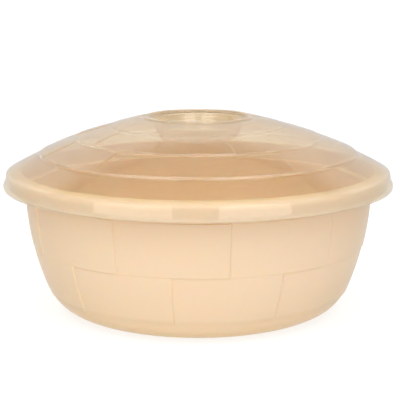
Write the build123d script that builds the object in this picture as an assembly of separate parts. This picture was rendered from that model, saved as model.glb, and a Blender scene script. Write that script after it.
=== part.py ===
from build123d import *
from math import cos, radians, sin, sqrt
import os

# A round household basin with a lift-off domed lid, both moulded in polypropylene.
#
# Millimetres. Origin: the middle of the foot, on the surface that the basin stands on. +Z is up.
# Two mouldings: the basin with its turned-over rim, and the lid with its recessed finger grip.

# ---- Basin ----
BASIN_WALL = 2.2
BASIN_HEIGHT = 131.8        # foot to the top of the rim

# Outside of the bowl: one big arc for the wall, and a smaller one that turns it into the foot
WALL_ARC_RADIUS = 254.7
WALL_ARC_CENTRE_R = -94.2
WALL_ARC_CENTRE_Z = 120.5
FOOT_CORNER_RADIUS = 33.5
FOOT_RING_WIDTH = 12.0      # the flat ring that the basin stands on
FOOT_RECESS = 1.5           # how far the middle of the bottom stands clear
FOOT_RECESS_SLOPE = 5.0     # width of the slope up to it

# Rim: a ledge where the wall steps out, a short upright band, and an edge turned down
RIM_OUTER_R = 175.6
RIM_OUTER_RADIUS = 8.0
RIM_INNER_RADIUS = 2.6
BAND_TOP_R = 163.2
BAND_BOTTOM_R = 162.4
LEDGE_Z = 114.5
LEDGE_RISE = 1.5
LEDGE_RADIUS = 1.6
FLANGE_BOTTOM_Z = 116.2

# ---- Lid ----
LID_WALL = 1.7
SKIRT_BOTTOM_Z = 116.5
SKIRT_BOTTOM_R = 180.0
SHOULDER_R = 178.2
SHOULDER_RADIUS = 2.2
SHOULDER_REACH = 7.0        # how far the shoulder's straight run reaches up the dome
BEAD_HEIGHT = 3.3           # the thicker edge at the bottom of the skirt
BEAD_STEP = 0.9             # how far the edge stands proud of the skirt
BEAD_ROOT = 1.4             # how deep the edge is sunk into the skirt
BEAD_RADIUS = 0.6

# Outside of the dome: one arc about a centre beyond the axis
DOME_ARC_RADIUS = 454.5
DOME_ARC_CENTRE_R = -44.8
DOME_ARC_CENTRE_Z = SKIRT_BOTTOM_Z - 383.1
RINGS = [80.9, 113.7, 146.7]    # radii where the dome steps
CROWN_STEP = 0.6            # how far the crown, inside the first ring, stands proud

# Finger grip in the middle: a tapered cup with a rounded lip
CUP_MOUTH_R = 46.8
CUP_FLOOR_R = 33.0
CUP_DEPTH = 19.4            # dome to floor, at the mouth
CUP_FLOOR_RADIUS = 4.0
LIP_RADIUS = 2.4
LIP_CENTRE_R = 49.9
LIP_DROP = 0.8              # how far the lip's middle lies under the face of the dome

# ---- Panels ----
# Two staggered rows round the basin and two round the lid. A panel is nearly flush at its first
# edge and stands proud at the other one, so a row overlaps like shingles.
PANELS = 10
PITCH = 360 / PANELS
FRONT = -90                 # the direction of the basin's front, which is -Y
LEAD = 0.15                 # how far the first edge stands proud
TUCK = 1.0                  # degrees by which a panel runs on under the proud edge before it
ROOT_SHARE = 0.7            # how much of the wall's thickness a panel is sunk into it
BASIN_STEP = 1.2
BASIN_ROWS = [              # bottom, top, direction of the first edge
    (19.2, 63.8, FRONT - 8.2),
    (63.8, 111.0, FRONT + 9.8),
]
LID_STEP = 0.8
LID_ROWS = [                # inner radius, outer radius, direction of the first edge
    (RINGS[0], RINGS[1], FRONT + 16.6),
    (RINGS[1], RINGS[2], FRONT - 0.3),
]
LID_PANEL_CORNER = 8.0      # radius of the rounded corner at a lid panel's proud edge
LID_TOP_LIMIT = 200.0       # a height above every part of the lid

ARC_POINTS = 6              # points along each long arc
MARGIN = 6.0                # extra length on shapes that are cut back afterwards


def wall_r(z, inset=0.0):
    """Radius of the basin's wall at height z, inset from its outer face."""
    return WALL_ARC_CENTRE_R + sqrt((WALL_ARC_RADIUS - inset) ** 2 - (z - WALL_ARC_CENTRE_Z) ** 2)


def dome_z(r, inset=0.0):
    """Height of the lid's dome at radius r, inset from its outer face."""
    return DOME_ARC_CENTRE_Z + sqrt((DOME_ARC_RADIUS - inset) ** 2 - (r - DOME_ARC_CENTRE_R) ** 2)


def steps(first, last):
    """Evenly spaced values for the points of a long arc."""
    return [first + (last - first) * number / (ARC_POINTS - 1) for number in range(ARC_POINTS)]


def wall_curve(first_z, last_z, inset):
    """The basin's wall between two heights."""
    return Spline(*[(wall_r(z, inset), z) for z in steps(first_z, last_z)])


def dome_curve(first_r, last_r, inset):
    """The lid's dome between two radii."""
    return Spline(*[(r, dome_z(r, inset)) for r in steps(first_r, last_r)])


def upright(outline):
    """A flat face from a closed outline of (radius, height), standing in the XZ plane."""
    return Plane.XZ * make_face(outline)


def turned(outline):
    """A closed outline of (radius, height) turned about the Z axis."""
    return revolve(upright(outline), Axis.Z)


def ribbon(first, second):
    """The closed outline between two paths that run the same way."""
    ends = [Line(first @ 0, second @ 0), Line(first @ 1, second @ 1)]
    return [*first.edges(), *second.edges(), *ends]


def row_of_panels(outline, space, first_edge, shift):
    """A full row of equal panels.

    A panel is its outline turned about an axis that lies off the middle, then cut to its space.
    The axis is moved square to the first edge, so the panel is flush there and stands further
    out the further it is from it.
    """
    away = radians(first_edge + 90)
    off_middle = Pos(shift * cos(away), shift * sin(away), 0)
    start = Rot(0, 0, first_edge - PITCH / 4)
    panel = off_middle * revolve(start * upright(outline), Axis.Z, 1.5 * PITCH) & space
    return [Rot(0, 0, PITCH * number) * panel for number in range(PANELS)]


# ---- Basin ----
def basin_face(depth):
    """The path of the basin's upper and inner face, or of the same face moved into the wall."""
    inset = BASIN_WALL - depth
    rim = FilletPolyline(
        (RIM_OUTER_R - depth, FLANGE_BOTTOM_Z),
        (RIM_OUTER_R - depth, BASIN_HEIGHT - depth),
        (BAND_TOP_R + depth, BASIN_HEIGHT - depth),
        (BAND_BOTTOM_R + depth, LEDGE_Z + LEDGE_RISE - depth),
        (wall_r(LEDGE_Z - depth, inset), LEDGE_Z - depth),
        radius=[RIM_OUTER_RADIUS - depth, RIM_INNER_RADIUS + depth, LEDGE_RADIUS + depth],
    )

    # The corner's centre, from which it is tangent to the wall and to the bottom
    rise = WALL_ARC_CENTRE_Z - FOOT_CORNER_RADIUS
    reach = WALL_ARC_RADIUS - FOOT_CORNER_RADIUS
    centre = Vector(WALL_ARC_CENTRE_R + sqrt(reach ** 2 - rise ** 2), FOOT_CORNER_RADIUS)
    outward = (centre - Vector(WALL_ARC_CENTRE_R, WALL_ARC_CENTRE_Z)).normalized()
    between = (outward - Vector(0, 1)).normalized()
    radius = FOOT_CORNER_RADIUS - inset
    corner = ThreePointArc(
        centre + outward * radius,
        centre + between * radius,
        centre - Vector(0, radius),
    )

    wall = wall_curve(LEDGE_Z - depth, (corner @ 0).Y, inset)
    recess_r = centre.X - FOOT_RING_WIDTH
    floor = Polyline(
        (centre.X, inset),
        (recess_r, inset),
        (recess_r - FOOT_RECESS_SLOPE, inset + FOOT_RECESS),
        (0, inset + FOOT_RECESS),
    )
    return Wire([*rim.edges(), *wall.edges(), *corner.edges(), *floor.edges()])


def basin_shell():
    """The basin without its panels."""
    return turned(ribbon(basin_face(0), basin_face(BASIN_WALL)))


def basin_panels():
    """Both rows of panels round the wall."""
    shift = (BASIN_STEP - LEAD) / sin(radians(PITCH))
    inner_r, outer_r = wall_r(0), RIM_OUTER_R
    panels = []
    for bottom, top, first_edge in BASIN_ROWS:
        ends = bottom - MARGIN, top + MARGIN
        outline = ribbon(wall_curve(*ends, -LEAD), wall_curve(*ends, ROOT_SHARE * BASIN_WALL))
        corners = [(inner_r, bottom), (outer_r, bottom), (outer_r, top), (inner_r, top)]
        limits = Polyline(*corners, close=True)
        space = revolve(Rot(0, 0, first_edge - TUCK) * upright(limits), Axis.Z, PITCH + TUCK)
        panels += row_of_panels(outline, space, first_edge, shift)
    return panels


# ---- Lid ----
def lid_face(depth):
    """The path of the lid's upper and outer face, or of the same face moved into the wall."""
    shoulder_r = SHOULDER_R - depth
    shoulder_end = SHOULDER_R - SHOULDER_REACH
    mouth_r = CUP_MOUTH_R + depth
    floor_z = dome_z(CUP_MOUTH_R) - CUP_DEPTH - depth
    skirt = FilletPolyline(
        (SKIRT_BOTTOM_R - depth, SKIRT_BOTTOM_Z),
        (shoulder_r, dome_z(shoulder_r, depth)),
        (shoulder_end, dome_z(shoulder_end, depth)),
        radius=SHOULDER_RADIUS - depth,
    )
    dome = dome_curve(shoulder_end, mouth_r, depth)
    cup = FilletPolyline(
        dome @ 1,
        (CUP_FLOOR_R + depth, floor_z),
        (0, floor_z),
        radius=CUP_FLOOR_RADIUS + depth,
    )
    return Wire([*skirt.edges(), *dome.edges(), *cup.edges()])


def lid_shell():
    """The lid without its lip, bead, crown and panels."""
    return turned(ribbon(lid_face(0), lid_face(LID_WALL)))


def lid_lip():
    """The rounded lip round the mouth of the finger grip."""
    section = Pos(LIP_CENTRE_R, dome_z(LIP_CENTRE_R) - LIP_DROP) * Circle(LIP_RADIUS)
    return revolve(Plane.XZ * section, Axis.Z)


def lid_bead():
    """The thicker edge at the bottom of the skirt."""
    bottom, top = SKIRT_BOTTOM_Z, SKIRT_BOTTOM_Z + BEAD_HEIGHT
    inner_r, outer_r = SKIRT_BOTTOM_R - BEAD_ROOT, SKIRT_BOTTOM_R + BEAD_STEP
    corners = [(inner_r, bottom), (outer_r, bottom), (outer_r, top), (inner_r, top)]
    section = make_face(Polyline(*corners, close=True))
    section = fillet(section.vertices().sort_by(Axis.X)[-2:], BEAD_RADIUS)
    return revolve(Plane.XZ * section, Axis.Z)


def lid_crown():
    """The raised part of the dome between the finger grip and the first ring."""
    ends = LIP_CENTRE_R, RINGS[0]
    return turned(ribbon(dome_curve(*ends, -CROWN_STEP), dome_curve(*ends, LID_WALL / 2)))


def lid_panel_space(inner_r, outer_r, first_edge):
    """The space of one lid panel: a slice of a ring with a rounded corner at its proud edge."""
    last_edge = first_edge + PITCH
    inner = CenterArc((0, 0), inner_r, first_edge - TUCK, PITCH + TUCK)
    outer = CenterArc((0, 0), outer_r, first_edge - TUCK, PITCH + TUCK)
    plan = make_face(ribbon(inner, outer))
    turn = radians(last_edge)
    proud_corner = Vector(inner_r * cos(turn), inner_r * sin(turn))
    nearest = plan.vertices().sort_by_distance(proud_corner)[0]
    return extrude(fillet(nearest, LID_PANEL_CORNER), LID_TOP_LIMIT)


def lid_panels():
    """Both rows of panels round the dome."""
    panels = []
    for inner_r, outer_r, first_edge in LID_ROWS:
        slope = ((inner_r + outer_r) / 2 - DOME_ARC_CENTRE_R) / DOME_ARC_RADIUS
        shift = (LID_STEP - LEAD) / sin(radians(PITCH)) / slope
        ends = inner_r - MARGIN, outer_r + MARGIN
        outline = ribbon(dome_curve(*ends, -LEAD), dome_curve(*ends, ROOT_SHARE * LID_WALL))
        space = lid_panel_space(inner_r, outer_r, first_edge)
        panels += row_of_panels(outline, space, first_edge, shift)
    return panels


basin = basin_shell().fuse(*basin_panels())
lid = lid_shell().fuse(lid_crown(), lid_bead(), lid_lip(), *lid_panels())

os.makedirs("parts", exist_ok=True)
for name, shape in {"basin": basin, "lid": lid}.items():
    export_step(shape, f"parts/{name}.step")
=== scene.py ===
from math import atan2, cos, degrees, hypot, pi, radians, sin, sqrt, tan

import bpy
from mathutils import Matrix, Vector


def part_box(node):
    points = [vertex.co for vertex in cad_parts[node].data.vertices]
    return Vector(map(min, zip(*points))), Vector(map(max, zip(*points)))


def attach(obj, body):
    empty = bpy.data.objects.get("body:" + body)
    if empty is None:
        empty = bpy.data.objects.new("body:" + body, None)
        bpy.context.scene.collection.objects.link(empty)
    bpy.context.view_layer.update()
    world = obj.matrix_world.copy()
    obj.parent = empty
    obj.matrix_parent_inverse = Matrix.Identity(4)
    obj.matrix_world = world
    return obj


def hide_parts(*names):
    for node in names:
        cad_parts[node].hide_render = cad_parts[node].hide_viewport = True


# A round basin in beige polypropylene, under a clear, slightly milky lid. Outlines are
# (radius, height) in millimetres, about the Z axis. Meshes, lights and the camera are in metres.

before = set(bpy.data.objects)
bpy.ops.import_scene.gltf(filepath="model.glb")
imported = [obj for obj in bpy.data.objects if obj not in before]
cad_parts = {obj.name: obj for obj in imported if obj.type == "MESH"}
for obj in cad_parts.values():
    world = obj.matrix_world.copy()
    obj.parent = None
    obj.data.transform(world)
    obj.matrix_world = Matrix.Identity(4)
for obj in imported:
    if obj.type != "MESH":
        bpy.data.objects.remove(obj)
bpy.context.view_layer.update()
basin_low, basin_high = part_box("basin")
lid_low, lid_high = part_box("lid")

MM = 0.001
RIM_R = basin_high.x / MM
RIM_TOP = basin_high.z / MM
LID_R = lid_high.x / MM
LID_TOP = lid_high.z / MM
SKIRT_BOTTOM = lid_low.z / MM
FRONT = -90.0               # direction of the front, in degrees about Z

# ---- Basin ----
BASIN_WALL = 2.2
WALL_ARC_RADIUS = 254.7
WALL_ARC_CENTRE = Vector((-94.2, RIM_TOP - 11.3))
FOOT_CORNER_RADIUS = 33.5   # of the arc from the wall down to the foot
FOOT_RING_WIDTH = 12.0
FOOT_RECESS = 1.5
FOOT_RECESS_SLOPE = 5.0
FLANGE_BOTTOM = SKIRT_BOTTOM - 0.3
RIM_OUTER_RADIUS = 8.0
RIM_INNER_RADIUS = 2.6
BAND_TOP_R = RIM_R - 12.4   # of the steep band from the rim down to the ledge
BAND_BOTTOM_R = RIM_R - 13.2
LEDGE = RIM_TOP - 17.3
LEDGE_RISE = 1.5
LEDGE_RADIUS = 1.6
EDGE_RADIUS = 0.5           # rounding of a cut edge, on the lid too

# ---- Lid ----
LID_WALL = 1.7
BEAD_STEP = 0.9
BEAD_HEIGHT = 3.3
BEAD_RADIUS = 0.6
SKIRT_R = LID_R - BEAD_STEP
SHOULDER_R = SKIRT_R - 1.8
SHOULDER_RADIUS = 2.2
SHOULDER_REACH = 7.0        # how far inside the shoulder the plain dome's curve starts
DOME_ARC_RADIUS = 454.5
DOME_ARC_CENTRE = Vector((-44.8, SKIRT_BOTTOM - 383.1))
RINGS = [80.9, 113.7, 146.7]
CROWN_STEP = 1.1            # how far the crown, inside the first ring, stands proud
CUP_FLOOR_R = 33.0
CUP_DEPTH = 19.4            # under the face of the dome at the cup's mouth
CUP_MOUTH_R = 45.5
CUP_FLOOR_RADIUS = 4.0
LIP_CENTRE_R = 48.6
LIP_RADIUS = 2.4
LIP_DIRECTIONS = [8 + 14 * number for number in range(11)]      # of its outer points, in degrees

# ---- Panels: each is nearly flush at its first edge and proud at its last one ----
PANELS = 10
PITCH = 360 / PANELS
LEAD = 0.15                 # how far a panel stands out at its first edge
BASIN_STEP = 0.85           # and at its last one
BASIN_LEAN = 0.5            # how much further it stands out along its lower edge
BASIN_CREASE = 0.16         # depth of the crease along its first edge, and of the one under it
BASIN_EDGE = 0.9            # width of a crease, and of the slope from flush to proud
BASIN_SPLIT = 63.8          # height at which the two rows meet
BASIN_ROWS = [(19.2, BASIN_SPLIT, FRONT - 8.2), (BASIN_SPLIT, 111.0, FRONT + 9.8)]
LID_STEP = 0.8
LID_LEAN = 1.0              # how much further a panel stands out along its outer edge
LID_EDGE = 1.5
LID_PANEL_CORNER = 8.0      # rounding of the corner between its last and its inner edge
LID_ROWS = [(RINGS[0], RINGS[1], FRONT + 16.6), (RINGS[1], RINGS[2], FRONT - 0.3)]

# ---- How finely the faces are divided ----
COLUMN_ANGLE = 1.5          # between lines of points, in degrees
COLUMN_GAP = 0.06           # lines closer than this are one
EDGE_COLUMNS = [-0.30, -0.18, -0.10, -0.03, 0.03, 0.10, 0.18, 0.30]     # about a panel's edge
CORNER_COLUMNS = [-5.0 + 0.33 * number for number in range(15)]         # over a rounded corner
CORNER_STEPS = [0.7 * number for number in range(1, 13)]                # and outward over it, in mm
STEP_POINTS = [-0.9, -0.65, -0.45, -0.25, -0.1, 0.1, 0.25, 0.45, 0.75]  # about a step, in mm
RUN_LENGTH = 4.0            # of the pieces of a long run
ARC_ANGLE = 12.0            # of the pieces of an arc


# ---- Outlines ----
def wall_r(z, inset=0.0):
    """Radius of the basin's wall at a height, inset from its outer face."""
    return WALL_ARC_CENTRE.x + sqrt((WALL_ARC_RADIUS - inset) ** 2 - (z - WALL_ARC_CENTRE.y) ** 2)


def dome_z(r, inset=0.0):
    """Height of the lid's dome at a radius, inset from its outer face."""
    return DOME_ARC_CENTRE.y + sqrt((DOME_ARC_RADIUS - inset) ** 2 - (r - DOME_ARC_CENTRE.x) ** 2)


def spread(first, last, extra=()):
    """Values from first to last in steps of about the run length, with the extra ones between."""
    count = max(1, round(abs(last - first) / RUN_LENGTH))
    values = [first + (last - first) * number / count for number in range(count + 1)]
    values += [value for value in extra if min(first, last) < value < max(first, last)]
    return sorted(set(values), reverse=last < first)


def rounded(corners):
    """An outline's points, from corners of (radius, height, rounding)."""
    points = [Vector(corners[0][:2])]
    for before, corner, after in zip(corners, corners[1:], corners[2:]):
        middle, rounding = Vector(corner[:2]), corner[2]
        back = (Vector(before[:2]) - middle).normalized()
        ahead = (Vector(after[:2]) - middle).normalized()
        turn = pi - back.angle(ahead)
        if rounding == 0 or turn < 0.01:
            points.append(middle)
            continue
        reach = rounding * tan(turn / 2)
        centre = middle + (back + ahead).normalized() * hypot(reach, rounding)
        start = middle + back * reach - centre
        side = 1 if start.x * (middle - centre).y > start.y * (middle - centre).x else -1
        count = max(2, round(degrees(turn) / ARC_ANGLE))
        for number in range(count + 1):
            angle = side * turn * number / count
            spoke = Vector((start.x * cos(angle) - start.y * sin(angle),
                            start.x * sin(angle) + start.y * cos(angle)))
            points.append(centre + spoke)
    points.append(Vector(corners[-1][:2]))
    return points


def divided(points):
    """The same outline with its long straight runs divided."""
    result = [points[0]]
    for first, last in zip(points, points[1:]):
        count = max(1, round((last - first).length / RUN_LENGTH))
        result += [first.lerp(last, number / count) for number in range(1, count + 1)]
    return result


# ---- Raised panels ----
def smooth(share):
    """0 below 0, 1 above 1, and a smooth curve between."""
    share = min(1.0, max(0.0, share))
    return share * share * (3 - 2 * share)


def proud(angle, first_edge, step, width, radius, from_start, corner):
    """How far a row of panels stands out at an angle, at a distance from where the row starts."""
    along = (angle - first_edge) % PITCH
    rise = (step - LEAD) * sin(radians(along)) / sin(radians(PITCH))
    to_edge = radians(PITCH - along) * radius
    inside = to_edge
    if to_edge < corner and from_start < corner:
        inside = corner - hypot(corner - to_edge, corner - from_start)
    return LEAD + rise * smooth(inside / width)


def crease(distance):
    """Depth of a crease that starts at distance 0."""
    share = distance / BASIN_EDGE
    return BASIN_CREASE * sin(pi * share) if 0 < share < 1 else 0


def basin_offset(angle, r, z):
    """How far the basin's outer face stands out of the plain wall."""
    total = 0.0
    for bottom, top, first_edge in BASIN_ROWS:
        share = smooth((z - bottom) / BASIN_EDGE + 0.5) * smooth((top - z) / BASIN_EDGE + 0.5)
        if share > 0:
            lean = BASIN_LEAN * (top - z) / (top - bottom)
            rise = proud(angle, first_edge, BASIN_STEP, BASIN_EDGE, r, z - bottom, 0)
            total += share * (lean + rise - crease(radians((angle - first_edge) % PITCH) * r))
        total -= crease(bottom - z)
    return total


def lid_offset(angle, r, z):
    """How far the lid's outer face stands out of the plain dome."""
    total = CROWN_STEP * smooth((RINGS[0] - r) / LID_EDGE + 0.5)
    for inner, outer, first_edge in LID_ROWS:
        share = smooth((r - inner) / LID_EDGE + 0.5) * smooth((outer - r) / LID_EDGE + 0.5)
        if share > 0:
            lean = LID_LEAN * (r - inner) / (outer - inner)
            rise = proud(angle, first_edge, LID_STEP, LID_EDGE, r, r - inner, LID_PANEL_CORNER)
            total += share * (lean + rise)
    return total


def columns(rows, extra):
    """Every angle at which the faces have a line of points."""
    angles = [COLUMN_ANGLE * number for number in range(round(360 / COLUMN_ANGLE))]
    for _, _, first_edge in rows:
        edges = [first_edge + PITCH * number for number in range(PANELS)]
        angles += [(edge + shift) % 360 for edge in edges for shift in extra]
    kept = []
    for angle in sorted(angles):
        if not kept or angle - kept[-1] > COLUMN_GAP:
            kept.append(angle)
    return kept


# ---- The two mouldings ----
def basin_face(depth, extra):
    """Corners of the basin's upper face, or of its lower one a wall's thickness under it."""
    inset = BASIN_WALL - depth
    ledge = LEDGE - depth
    corners = [
        (RIM_R - depth, FLANGE_BOTTOM, EDGE_RADIUS),
        (RIM_R - depth, RIM_TOP - depth, RIM_OUTER_RADIUS - depth),
        (BAND_TOP_R + depth, RIM_TOP - depth, RIM_INNER_RADIUS + depth),
        (BAND_BOTTOM_R + depth, ledge + LEDGE_RISE, LEDGE_RADIUS + depth),
        (wall_r(ledge, inset), ledge, LEDGE_RADIUS / 2),
    ]
    rise = WALL_ARC_CENTRE.y - FOOT_CORNER_RADIUS
    reach = WALL_ARC_RADIUS - FOOT_CORNER_RADIUS
    centre = Vector((WALL_ARC_CENTRE.x + sqrt(reach ** 2 - rise ** 2), FOOT_CORNER_RADIUS))
    outward = (centre - WALL_ARC_CENTRE).normalized()
    radius = FOOT_CORNER_RADIUS - inset
    join = centre + outward * radius
    corners += [(wall_r(z, inset), z, 0) for z in spread(ledge, join.y, extra)[1:-1]]
    start = degrees(atan2(outward.y, outward.x))
    count = round((90 + start) / (ARC_ANGLE / 4))
    for number in range(count + 1):
        angle = radians(start - (90 + start) * number / count)
        corners.append((centre.x + radius * cos(angle), centre.y + radius * sin(angle), 0))
    recess_r = centre.x - FOOT_RING_WIDTH
    corners += [
        (recess_r, inset, EDGE_RADIUS),
        (recess_r - FOOT_RECESS_SLOPE, inset + FOOT_RECESS, EDGE_RADIUS),
        (0, inset + FOOT_RECESS, 0),
    ]
    return corners


def lid_face(depth, extra):
    """Corners of the lid's upper face, or of its lower one a wall's thickness under it."""
    shoulder_r = SHOULDER_R - depth
    run_end = SHOULDER_R - SHOULDER_REACH
    if depth == 0:
        bead_top = SKIRT_BOTTOM + BEAD_HEIGHT
        corners = [
            (LID_R, SKIRT_BOTTOM, EDGE_RADIUS),
            (LID_R, bead_top, BEAD_RADIUS),
            (SKIRT_R - BEAD_RADIUS, bead_top, BEAD_RADIUS / 2),
        ]
    else:
        corners = [(SKIRT_R - depth, SKIRT_BOTTOM, EDGE_RADIUS)]
    corners.append((shoulder_r, dome_z(shoulder_r, depth), SHOULDER_RADIUS - depth))
    lip_centre = Vector((LIP_CENTRE_R, LID_TOP - LIP_RADIUS))
    dome_end = LIP_CENTRE_R + LIP_RADIUS if depth == 0 else CUP_MOUTH_R
    corners += [(r, dome_z(r, depth), 0) for r in spread(run_end, dome_end, extra)]
    floor_z = dome_z(CUP_MOUTH_R) - CUP_DEPTH - depth
    if depth == 0:
        for direction in LIP_DIRECTIONS:
            spoke = Vector((cos(radians(direction)), sin(radians(direction))))
            corners.append((*(lip_centre + LIP_RADIUS * spoke), 0))
    corners += [
        (CUP_FLOOR_R + depth, floor_z, CUP_FLOOR_RADIUS + depth),
        (0, floor_z, 0),
    ]
    return corners


def plain_ring(point):
    """The radius and height, at any angle, of a ring through an outline's point."""
    return lambda angle: (point.x, point.y)


def raised_ring(point, centre, offset):
    """The same where the face is raised, outward from the centre of its arc."""
    normal = (point - centre).normalized()

    def at_angle(angle):
        out = offset(angle, point.x, point.y)
        return point.x + normal.x * out, point.y + normal.y * out
    return at_angle


def shell_mesh(name, rings, angles):
    """A closed shell, from the middle of one face out over its edge to the middle of the other."""
    vertices = [(0, 0, rings[0](0)[1] * MM)]
    for ring in rings[1:-1]:
        for angle in angles:
            r, z = ring(angle)
            vertices.append((r * cos(radians(angle)) * MM, r * sin(radians(angle)) * MM, z * MM))
    vertices.append((0, 0, rings[-1](0)[1] * MM))
    size, last = len(angles), len(vertices) - 1
    starts = [1 + number * size for number in range(len(rings) - 2)]
    faces = []
    for column in range(size):
        beside = (column + 1) % size
        faces.append((0, 1 + beside, 1 + column))
        for start, after in zip(starts, starts[1:]):
            faces.append((start + column, start + beside, after + beside, after + column))
        faces.append((starts[-1] + column, starts[-1] + beside, last))
    mesh = bpy.data.meshes.new(name)
    mesh.from_pydata(vertices, [], faces)
    mesh.polygons.foreach_set("use_smooth", [True] * len(mesh.polygons))
    mesh.validate()
    mesh.update()
    piece = bpy.data.objects.new(name, mesh)
    bpy.context.scene.collection.objects.link(piece)
    return piece


def make_basin():
    """The basin, with both rows of panels round its wall."""
    steps = [BASIN_ROWS[0][0], BASIN_ROWS[1][0], BASIN_ROWS[1][1]]
    extra = [value + shift for value in steps for shift in STEP_POINTS]
    outer = divided(rounded(basin_face(BASIN_WALL, extra)))
    inner = divided(rounded(basin_face(0, ())))
    rings = [plain_ring(point) for point in inner[::-1]]
    for point in outer:
        if point.y < LEDGE - BASIN_WALL and point.x > RIM_R / 2:
            rings.append(raised_ring(point, WALL_ARC_CENTRE, basin_offset))
        else:
            rings.append(plain_ring(point))
    return shell_mesh("basin_shell", rings, columns(BASIN_ROWS, EDGE_COLUMNS))


def make_lid():
    """The lid, with its crown, rings and both rows of panels."""
    extra = [value + shift for value in RINGS for shift in STEP_POINTS]
    extra += [inner + shift for inner, _, _ in LID_ROWS for shift in CORNER_STEPS]
    outer = divided(rounded(lid_face(0, extra)))
    inner = divided(rounded(lid_face(LID_WALL, extra)))
    rings = []
    for point in inner[::-1] + outer:
        if LIP_CENTRE_R + LIP_RADIUS < point.x < SHOULDER_R - SHOULDER_REACH:
            rings.append(raised_ring(point, DOME_ARC_CENTRE, lid_offset))
        else:
            rings.append(plain_ring(point))
    return shell_mesh("lid_shell", rings, columns(LID_ROWS, EDGE_COLUMNS + CORNER_COLUMNS))


# ---- Materials: a pair of colours is the range that a noise moves in ----
OUTSIDE = (0.765, 0.61, 0.43), (0.78, 0.625, 0.445)
# The inside colour is warmer by a painted glow: the amber light that comes in through the
# translucent wall.
INSIDE_PAINTED_GLOW = (0.755, 0.57, 0.31), (0.77, 0.585, 0.325)
BASIN_ROUGHNESS = (0.26, 0.26, 0.26), (0.36, 0.36, 0.36)
LID_TINT = (0.985, 0.955, 0.90), (0.995, 0.965, 0.915)
LID_ROUGHNESS = (0.02, 0.02, 0.02), (0.05, 0.05, 0.05)
COAT_ROUGHNESS = 0.02
PLASTIC_IOR = 1.49
FILM_IOR = 1.01             # the lid's wall hardly bends light, and its coat has the gloss
MILK = (0.97, 0.925, 0.92)  # colour that the lid's wall scatters
MILK_DENSITY = 125.0
MILK_FORWARD = 0.4          # 0 scatters evenly all round, and 1 straight on
AMBER = (0.8, 0.62, 0.22)   # colour that it lets through
AMBER_DENSITY = 75.0
RING_HIGHLIGHT_AND_LIP_CLEAR = 0.84           # share of light that the lid's face lets through at a ring or the lip; the milky bands at the rings are painted highlight lines
SKIRT_CLEAR = 0.9           # and over the skirt
RING_HALF_WIDTH = 1.1
WAX_WEIGHT = 0.6            # how much of the basin's light comes from under its face
WAX_REACH = 0.004
WAX_SPREAD = (1.0, 0.6, 0.3)
OUTWARD = (0.02, 0.15)      # from where to where the inside colour, with its painted warm glow, turns into the outside one
BLACK = (0.0, 0.0, 0.0)
WHITE = (1.0, 1.0, 1.0)

# Noise is (waves to a metre, detail). Waves and grain add a bump: (height in metres, strength).
BASIN_PATCHES = (6, 1)
BASIN_GLOSS = (30, 4)
BASIN_WAVES = (260, 3), (0.0002, 0.12)
BASIN_GRAIN = (2200, 2), (0.00004, 0.15)
LID_PATCHES = (8, 1)
LID_GLOSS = (40, 4)
LID_WAVES = (180, 3), (0.0002, 0.06)
LID_GRAIN = (2600, 2), (0.00003, 0.1)


def node(tree, kind, **values):
    """A new node with its inputs set by name."""
    made = tree.nodes.new(kind)
    for name, value in values.items():
        made.inputs[name.replace("_", " ")].default_value = value
    return made


def noise(tree, scale, detail):
    """Noise in object space; the scale is in waves to a metre."""
    where = tree.nodes.new("ShaderNodeTexCoord")
    made = node(tree, "ShaderNodeTexNoise", Scale=scale, Detail=detail)
    tree.links.new(where.outputs["Object"], made.inputs["Vector"])
    return made.outputs["Fac"]


def ramp(tree, factor, low, high, at=(0.1, 0.9)):
    """A change from one colour to another along a factor."""
    made = tree.nodes.new("ShaderNodeValToRGB")
    for stop, position, colour in zip(made.color_ramp.elements, at, (low, high)):
        stop.position = position
        stop.color = (*colour, 1)
    tree.links.new(factor, made.inputs["Fac"])
    return made.outputs["Color"]


def blend(tree, factor, first, second):
    """A mix of two colours, from the first at 0 to the second at 1."""
    made = tree.nodes.new("ShaderNodeMixRGB")
    for source, socket in [(factor, "Fac"), (first, "Color1"), (second, "Color2")]:
        tree.links.new(source, made.inputs[socket])
    return made.outputs["Color"]


def grey(value):
    """A grey as a colour."""
    return (value, value, value)


def facing_out(tree):
    """White on faces that look away from the Z axis, black on those that look towards it."""
    where = tree.nodes.new("ShaderNodeTexCoord")
    flat = tree.nodes.new("ShaderNodeVectorMath")
    flat.operation = "MULTIPLY"
    flat.inputs[1].default_value = (1, 1, 0)
    facing = tree.nodes.new("ShaderNodeVectorMath")
    facing.operation = "DOT_PRODUCT"
    tree.links.new(where.outputs["Object"], flat.inputs[0])
    tree.links.new(flat.outputs["Vector"], facing.inputs[0])
    tree.links.new(where.outputs["Normal"], facing.inputs[1])
    return ramp(tree, facing.outputs["Value"], BLACK, WHITE, OUTWARD)


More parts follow.
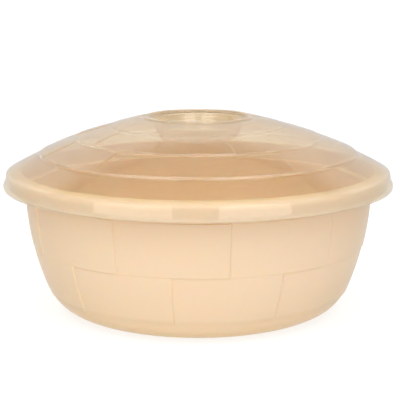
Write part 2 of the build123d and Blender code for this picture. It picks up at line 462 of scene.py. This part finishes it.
def clearness(tree):
    """How clear the lid's face is: less so along its lip and rings, whose milky bands are painted
    highlight lines, and over its skirt.
    """
    where = tree.nodes.new("ShaderNodeTexCoord")
    flat = tree.nodes.new("ShaderNodeVectorMath")
    flat.operation = "MULTIPLY"
    flat.inputs[1].default_value = (1 / (LID_R * MM), 1 / (LID_R * MM), 0)
    distance = tree.nodes.new("ShaderNodeVectorMath")
    distance.operation = "LENGTH"
    tree.links.new(where.outputs["Object"], flat.inputs[0])
    tree.links.new(flat.outputs["Vector"], distance.inputs[0])
    values = [(SHOULDER_R - SHOULDER_REACH, 1.0), (SHOULDER_R, SKIRT_CLEAR)]
    for ring, reach in [(LIP_CENTRE_R, LIP_RADIUS), *((ring, RING_HALF_WIDTH) for ring in RINGS)]:
        values += [(ring - reach, 1.0), (ring, RING_HIGHLIGHT_AND_LIP_CLEAR), (ring + reach, 1.0)]
    made = tree.nodes.new("ShaderNodeValToRGB")
    stops = made.color_ramp.elements
    stops[0].color = (*WHITE, 1)
    stops[1].color = (*grey(SKIRT_CLEAR), 1)
    for distance_out, value in sorted(values):
        stops.new(distance_out / LID_R).color = (*grey(value), 1)
    tree.links.new(distance.outputs["Value"], made.inputs["Fac"])
    return made.outputs["Color"]


def moulded(tree, waves, grain):
    """The normal of a moulded face: a fine grain on top of broad waves."""
    normal = None
    for (scale, detail), (distance, strength) in (waves, grain):
        bump = node(tree, "ShaderNodeBump", Strength=strength, Distance=distance)
        tree.links.new(noise(tree, scale, detail), bump.inputs["Height"])
        if normal:
            tree.links.new(normal, bump.inputs["Normal"])
        normal = bump.outputs["Normal"]
    return normal


def plastic(name):
    """A new material and its node tree and shader."""
    material = bpy.data.materials.new(name)
    material.use_nodes = True
    tree = material.node_tree
    return material, tree, tree.nodes["Principled BSDF"]


def basin_plastic():
    """Beige polypropylene: slightly waxy, with a soft gloss, and a painted warm glow on its inside.
    """
    material, tree, shader = plastic("basin_plastic")
    link = tree.links.new
    patches = noise(tree, *BASIN_PATCHES)
    inside, outside = ramp(tree, patches, *INSIDE_PAINTED_GLOW), ramp(tree, patches, *OUTSIDE)
    # the inside faces get the painted warm glow of light that has come through the wall
    link(blend(tree, facing_out(tree), inside, outside), shader.inputs["Base Color"])
    link(ramp(tree, noise(tree, *BASIN_GLOSS), *BASIN_ROUGHNESS), shader.inputs["Roughness"])
    link(moulded(tree, BASIN_WAVES, BASIN_GRAIN), shader.inputs["Normal"])
    shader.inputs["IOR"].default_value = PLASTIC_IOR
    shader.inputs["Subsurface Weight"].default_value = WAX_WEIGHT
    shader.inputs["Subsurface Radius"].default_value = WAX_SPREAD
    shader.inputs["Subsurface Scale"].default_value = WAX_REACH
    return material


def lid_plastic():
    """Clear polypropylene, milky inside its wall and very smooth."""
    material, tree, shader = plastic("lid_plastic")
    link = tree.links.new
    link(ramp(tree, noise(tree, *LID_PATCHES), *LID_TINT), shader.inputs["Base Color"])
    link(ramp(tree, noise(tree, *LID_GLOSS), *LID_ROUGHNESS), shader.inputs["Roughness"])
    link(moulded(tree, LID_WAVES, LID_GRAIN), shader.inputs["Normal"])
    link(clearness(tree), shader.inputs["Transmission Weight"])
    shader.inputs["IOR"].default_value = FILM_IOR
    shader.inputs["Coat Weight"].default_value = 1.0
    shader.inputs["Coat IOR"].default_value = PLASTIC_IOR
    shader.inputs["Coat Roughness"].default_value = COAT_ROUGHNESS
    milk = node(tree, "ShaderNodeVolumeScatter", Color=(*MILK, 1), Density=MILK_DENSITY)
    milk.inputs["Anisotropy"].default_value = MILK_FORWARD
    amber = node(tree, "ShaderNodeVolumeAbsorption", Color=(*AMBER, 1), Density=AMBER_DENSITY)
    wall = tree.nodes.new("ShaderNodeAddShader")
    link(milk.outputs[0], wall.inputs[0])
    link(amber.outputs[0], wall.inputs[1])
    link(wall.outputs[0], tree.nodes["Material Output"].inputs["Volume"])
    return material


# ---- Studio ----
CAMERA_DISTANCE = 1.152
CAMERA_ELEVATION = 10.49
CAMERA_LENS = 110.3
AIM_DROP = 0.01706          # how far under the lid's edge the camera aims, square to its view
AIM_SIDE = 0.00168
FLOOR_SIZE = 30.0
FLOOR_SHADE = 0.3
FLOOR_ROUGHNESS = 0.9
FLOOR_GLOW = 0.75           # the floor is a lit table, so shadows on it stay faint
BACK_LOW_LIGHT = 0.72       # light from the foot and from the head of the studio's back wall
BACK_HIGH_LIGHT = 0.92
BACK_LOW_FADE = (0.5, 0.9)  # where the side walls turn into the back one, as the Y of a direction
BACK_HIGH_FADE = (0.3, 0.65)
BACK_RISE = (0.25, 0.55)    # where its foot turns into its head, as the Z of a direction
SIDE_LIGHT = 0.15
CEILING_LIGHT = 0.07
WALL_TOP = 36.0             # where the walls start to fade and the ceiling starts, in degrees
CEILING_START = 46.0
TOP_LIGHT = 2.9
TOP_LIGHT_SPREAD = 90.0
SOFTBOX_DISTANCE = 1.6
WARM = (1.0, 0.95, 0.85)
NEUTRAL = (1.0, 0.98, 0.97)
SOFTBOXES = [(-36.0, 44.0, WARM), (31.0, 40.0, NEUTRAL)]    # degrees from the front, and across
SOFTBOX_HIGH = 66.0         # elevation of their upper edges, in degrees
SOFTBOX_LIGHT = 1.75


def make_camera():
    """The camera, in front of the object and a little above it."""
    lid_edge = Vector((0, 0, lid_low.z))
    tilt = radians(CAMERA_ELEVATION)
    up = Vector((0, sin(tilt), cos(tilt)))
    viewpoint = lid_edge + CAMERA_DISTANCE * Vector((0, -cos(tilt), sin(tilt)))
    aim = lid_edge - AIM_DROP * up + Vector((AIM_SIDE, 0, 0))
    camera = bpy.data.objects.new("camera", bpy.data.cameras.new("camera"))
    bpy.context.scene.collection.objects.link(camera)
    camera.data.lens = CAMERA_LENS
    camera.location = viewpoint
    camera.rotation_euler = (aim - viewpoint).to_track_quat("-Z", "Y").to_euler()
    bpy.context.scene.camera = camera


def make_floor():
    """A plain white floor that reaches far behind the object."""
    half = FLOOR_SIZE / 2
    mesh = bpy.data.meshes.new("floor")
    corners = [(-half, -half, 0), (half, -half, 0), (half, half, 0), (-half, half, 0)]
    mesh.from_pydata(corners, [], [(0, 1, 2, 3)])
    floor = bpy.data.objects.new("floor", mesh)
    bpy.context.scene.collection.objects.link(floor)
    material, tree, shader = plastic("floor_paint")
    shader.inputs["Base Color"].default_value = (*grey(FLOOR_SHADE), 1)
    shader.inputs["Emission Color"].default_value = (*WHITE, 1)
    shader.inputs["Emission Strength"].default_value = FLOOR_GLOW
    shader.inputs["Roughness"].default_value = FLOOR_ROUGHNESS
    shader.inputs["Specular IOR Level"].default_value = 0.0
    mesh.materials.append(material)
    floor.visible_glossy = False


def make_softbox(direction, width, colour):
    """An upright light that faces the object and stands from its lid's edge to high above it."""
    azimuth = radians(direction)
    out = Vector((sin(azimuth), -cos(azimuth), 0))
    light = bpy.data.lights.new("softbox", "AREA")
    light.shape = "RECTANGLE"
    light.size = 2 * SOFTBOX_DISTANCE * tan(radians(width / 2))
    light.size_y = SOFTBOX_DISTANCE * tan(radians(SOFTBOX_HIGH))
    light.color = colour
    light.energy = SOFTBOX_LIGHT * light.size * light.size_y * pi
    lamp = bpy.data.objects.new("softbox", light)
    bpy.context.scene.collection.objects.link(lamp)
    middle = Vector((0, 0, lid_low.z + light.size_y / 2))
    lamp.location = middle + out * SOFTBOX_DISTANCE
    lamp.rotation_euler = out.to_track_quat("Z", "Y").to_euler()


def make_world():
    """White light from a back wall, less of it from the side walls, and a dark ceiling."""
    world = bpy.data.worlds.new("studio")
    world.use_nodes = True
    tree = world.node_tree
    direction = tree.nodes.new("ShaderNodeTexCoord")
    parts = tree.nodes.new("ShaderNodeSeparateXYZ")
    tree.links.new(direction.outputs["Generated"], parts.inputs[0])
    back, up = parts.outputs["Y"], parts.outputs["Z"]
    foot = ramp(tree, back, grey(SIDE_LIGHT), grey(BACK_LOW_LIGHT), BACK_LOW_FADE)
    head = ramp(tree, back, grey(SIDE_LIGHT), grey(BACK_HIGH_LIGHT), BACK_HIGH_FADE)
    walls = blend(tree, ramp(tree, up, BLACK, WHITE, BACK_RISE), foot, head)
    edges = sin(radians(WALL_TOP)), sin(radians(CEILING_START))
    light = node(tree, "ShaderNodeMixRGB", Color2=(*grey(CEILING_LIGHT), 1))
    tree.links.new(ramp(tree, up, BLACK, WHITE, edges), light.inputs["Fac"])
    tree.links.new(walls, light.inputs["Color1"])
    tree.links.new(light.outputs["Color"], tree.nodes["Background"].inputs["Color"])
    bpy.context.scene.world = world


def make_top_light():
    """Broad soft light from straight above, which isn't seen in the plastic's gloss."""
    light = bpy.data.lights.new("top_light", "SUN")
    light.energy = TOP_LIGHT
    light.angle = radians(TOP_LIGHT_SPREAD)
    lamp = bpy.data.objects.new("top_light", light)
    bpy.context.scene.collection.objects.link(lamp)
    lamp.visible_glossy = False


def make_studio():
    """Camera, floor and lights, and the way that the picture is shown."""
    make_camera()
    make_floor()
    make_world()
    make_top_light()
    for direction, width, colour in SOFTBOXES:
        make_softbox(direction, width, colour)
    bpy.context.scene.view_settings.view_transform = "Standard"
    bpy.context.scene.cycles.max_bounces = 16
    bpy.context.scene.cycles.transmission_bounces = 12
    bpy.context.scene.cycles.diffuse_bounces = 6
    bpy.context.scene.cycles.volume_bounces = 6


def place(piece, material, body, cad_node):
    """Gives a finished piece its material and its place in the frame."""
    piece.data.materials.append(material)
    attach(piece, body)
    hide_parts(cad_node)


place(make_basin(), basin_plastic(), "basin", "basin")
place(make_lid(), lid_plastic(), "lid", "lid")
make_studio()
